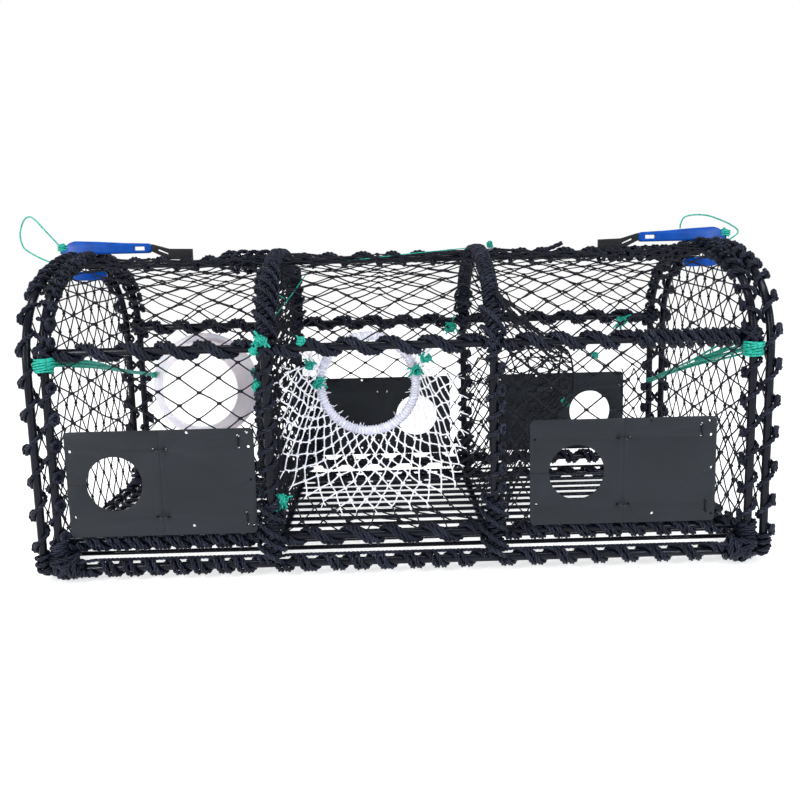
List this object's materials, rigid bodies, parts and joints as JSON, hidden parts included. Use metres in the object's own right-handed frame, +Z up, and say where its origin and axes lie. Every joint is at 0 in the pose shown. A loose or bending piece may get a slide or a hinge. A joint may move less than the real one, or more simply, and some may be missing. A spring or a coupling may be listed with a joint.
{
  "type": "lobster trap",
  "caption": "Rope-lashed D-section lobster creel with netted bays, entrance funnel and eye, flapped escape plates, and a hooked net door at each end.",
  "frame": {"origin": "on the ground at the middle of the creel's footprint", "axes": "+X along the creel to the right-hand door as seen from the entrance funnel, -Y out of the front, +Z up"},
  "size_m": [1.192, 0.5282, 0.5361],
  "materials": {
    "coated_steel": "plastic-coated bar, satin",
    "black_net": "knotted twine netting",
    "black_rope": "laid rope, slightly glossy strands",
    "white_net": "soft white twine netting",
    "white_plastic": "milky moulded plastic",
    "plate_plastic": "matt sheet plastic",
    "tie_plastic": "smooth ring tie",
    "hook_blue": "moulded, glossy",
    "rubber": "matt strip rubber",
    "teal_twine": "braided polythene twine"
  },
  "bodies": {
    "frame": {"base_frame": "coated_steel", "entrance_funnel_net": "white_net", "entrance_ring": "white_plastic", "hard_eye": "white_plastic", "parlour_funnel_net": "black_net", "left_partition_net": "black_net", "left_rear_net": "black_net", "left_stay": "teal_twine", "right_stay": "teal_twine", "left_end_hoop": "coated_steel", "mid_left_hoop": "coated_steel", "mid_right_hoop": "coated_steel", "right_end_hoop": "coated_steel", "ridge_rail": "coated_steel", "front_mid_rail": "coated_steel", "front_low_rail": "coated_steel", "rear_mid_rail": "coated_steel", "rear_low_rail": "coated_steel", "left_front_top_net": "black_net", "left_rear_top_net": "black_net", "centre_front_top_net": "black_net", "centre_rear_top_net": "black_net", "right_front_top_net": "black_net", "right_rear_top_net": "black_net", "left_front_net": "black_net", "right_front_net": "black_net", "centre_rear_net": "black_net", "right_rear_net": "black_net", "left_front_lashing": "black_rope", "left_rear_lashing": "black_rope", "right_front_lashing": "black_rope", "right_rear_lashing": "black_rope", "front_base_lashing": "black_rope", "rear_base_lashing": "black_rope", "front_left_lower_tie": "tie_plastic", "front_left_upper_tie": "tie_plastic", "front_right_lower_tie": "tie_plastic", "front_right_upper_tie": "tie_plastic", "rear_centre_lower_tie": "tie_plastic", "rear_centre_upper_tie": "tie_plastic", "rear_right_lower_tie": "tie_plastic", "rear_right_upper_tie": "tie_plastic", "front_left_plate": "plate_plastic", "front_right_plate": "plate_plastic", "rear_centre_plate": "plate_plastic", "rear_right_plate": "plate_plastic", "left_rubber_strap": "rubber", "right_rubber_strap": "rubber"},
    "left_door": {"left_door_hoop": "coated_steel", "left_door_net": "black_net"},
    "left_hook_body": {"left_hook": "hook_blue", "left_pull_loop": "teal_twine"},
    "right_door": {"right_door_hoop": "coated_steel", "right_door_net": "black_net"},
    "right_hook_body": {"right_hook": "hook_blue", "right_pull_loop": "teal_twine"},
    "front_left_flap_body": {"front_left_flap": "plate_plastic"},
    "front_right_flap_body": {"front_right_flap": "plate_plastic"},
    "rear_centre_flap_body": {"rear_centre_flap": "plate_plastic"},
    "rear_right_flap_body": {"rear_right_flap": "plate_plastic"}
  },
  "joints": [
    {"name": "left_door_hinge", "type": "hinge", "parent": "frame", "child": "left_door", "pos_m": [-0.524, 0, 0.02], "axis": [0, -1, 0], "range_deg": [0, 85], "stiffness_Nm_per_rad": 6},
    {"name": "left_hook_pull", "type": "slide", "parent": "left_door", "child": "left_hook_body", "axis": [-1, 0, 0], "range_m": [0, 0.065], "stiffness_N_per_m": 150},
    {"name": "right_door_hinge", "type": "hinge", "parent": "frame", "child": "right_door", "pos_m": [0.524, 0, 0.02], "axis": [0, 1, 0], "range_deg": [0, 85], "stiffness_Nm_per_rad": 6},
    {"name": "right_hook_pull", "type": "slide", "parent": "right_door", "child": "right_hook_body", "axis": [1, 0, 0], "range_m": [0, 0.065], "stiffness_N_per_m": 150},
    {"name": "front_left_flap_hinge", "type": "hinge", "parent": "frame", "child": "front_left_flap_body", "pos_m": [-0.346, -0.2548, 0.145], "axis": [0, 0, 1], "range_deg": [0, 160]},
    {"name": "front_right_flap_hinge", "type": "hinge", "parent": "frame", "child": "front_right_flap_body", "pos_m": [0.3155, -0.2548, 0.145], "axis": [0, 0, 1], "range_deg": [0, 160]},
    {"name": "rear_centre_flap_hinge", "type": "hinge", "parent": "frame", "child": "rear_centre_flap_body", "pos_m": [-0.0305, 0.2548, 0.145], "axis": [0, 0, 1], "range_deg": [0, 160]},
    {"name": "rear_right_flap_hinge", "type": "hinge", "parent": "frame", "child": "rear_right_flap_body", "pos_m": [0.3155, 0.2548, 0.145], "axis": [0, 0, 1], "range_deg": [0, 160]}
  ]
}
